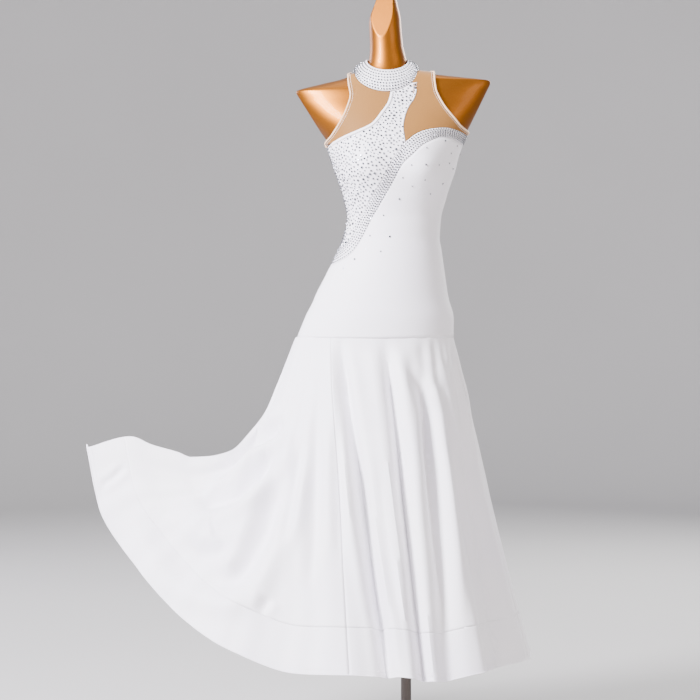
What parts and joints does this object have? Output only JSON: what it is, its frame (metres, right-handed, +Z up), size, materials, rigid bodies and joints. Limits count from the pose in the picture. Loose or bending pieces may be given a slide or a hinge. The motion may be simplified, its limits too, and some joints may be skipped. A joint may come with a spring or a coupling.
{
  "type": "ballroom dance dress on a dress form",
  "caption": "Sleeveless stand-collar ballroom dance dress, its flared skirt held out to one side, on a limbless dress form with a pole and round base.",
  "frame": {"origin": "centre of the round base's underside, on the floor, on the pole's axis", "axes": "+Z up; the wearer's front faces -Y; +X is the wearer's left"},
  "size_m": [0.9321, 0.5702, 1.616],
  "materials": {
    "white_stretch_cloth": "fine matt-sheen stretch crepe, with clear crystals glued on the bodice",
    "nude_mesh": "sheer nude power mesh",
    "zip_tape": "closed white dress zip",
    "zip_metal": "white lacquered zinc slider and pull",
    "gold_lacquer": "glossy gold lacquer on a moulded shell",
    "dark_steel": "satin dark steel"
  },
  "bodies": {
    "dress_and_form": {"back_left": "white_stretch_cloth", "back_right": "white_stretch_cloth", "binding_left": "nude_mesh", "binding_right": "nude_mesh", "collar": "white_stretch_cloth", "crystal_border": "white_stretch_cloth", "crystal_panel": "white_stretch_cloth", "form_base": "dark_steel", "form_body": "gold_lacquer", "form_pole": "dark_steel", "front_panel": "white_stretch_cloth", "hem_band_back_left": "white_stretch_cloth", "hem_band_back_right": "white_stretch_cloth", "hem_band_front": "white_stretch_cloth", "hem_band_held_side": "white_stretch_cloth", "mesh_back_left": "nude_mesh", "mesh_back_right": "nude_mesh", "mesh_front_left": "nude_mesh", "mesh_front_right": "nude_mesh", "skirt_back_left": "white_stretch_cloth", "skirt_back_right": "white_stretch_cloth", "skirt_front": "white_stretch_cloth", "skirt_held_side": "white_stretch_cloth", "zip": "zip_tape", "zip_slider": "zip_metal"},
    "zip_pull": {"zip_pull": "zip_metal"}
  },
  "joints": [
    {"name": "zip_pull_hinge", "type": "hinge", "parent": "dress_and_form", "child": "zip_pull", "pos_m": [-0.039, 0.0563, 1.456], "axis": [1, 0, 0], "range_deg": [0, 150]}
  ]
}
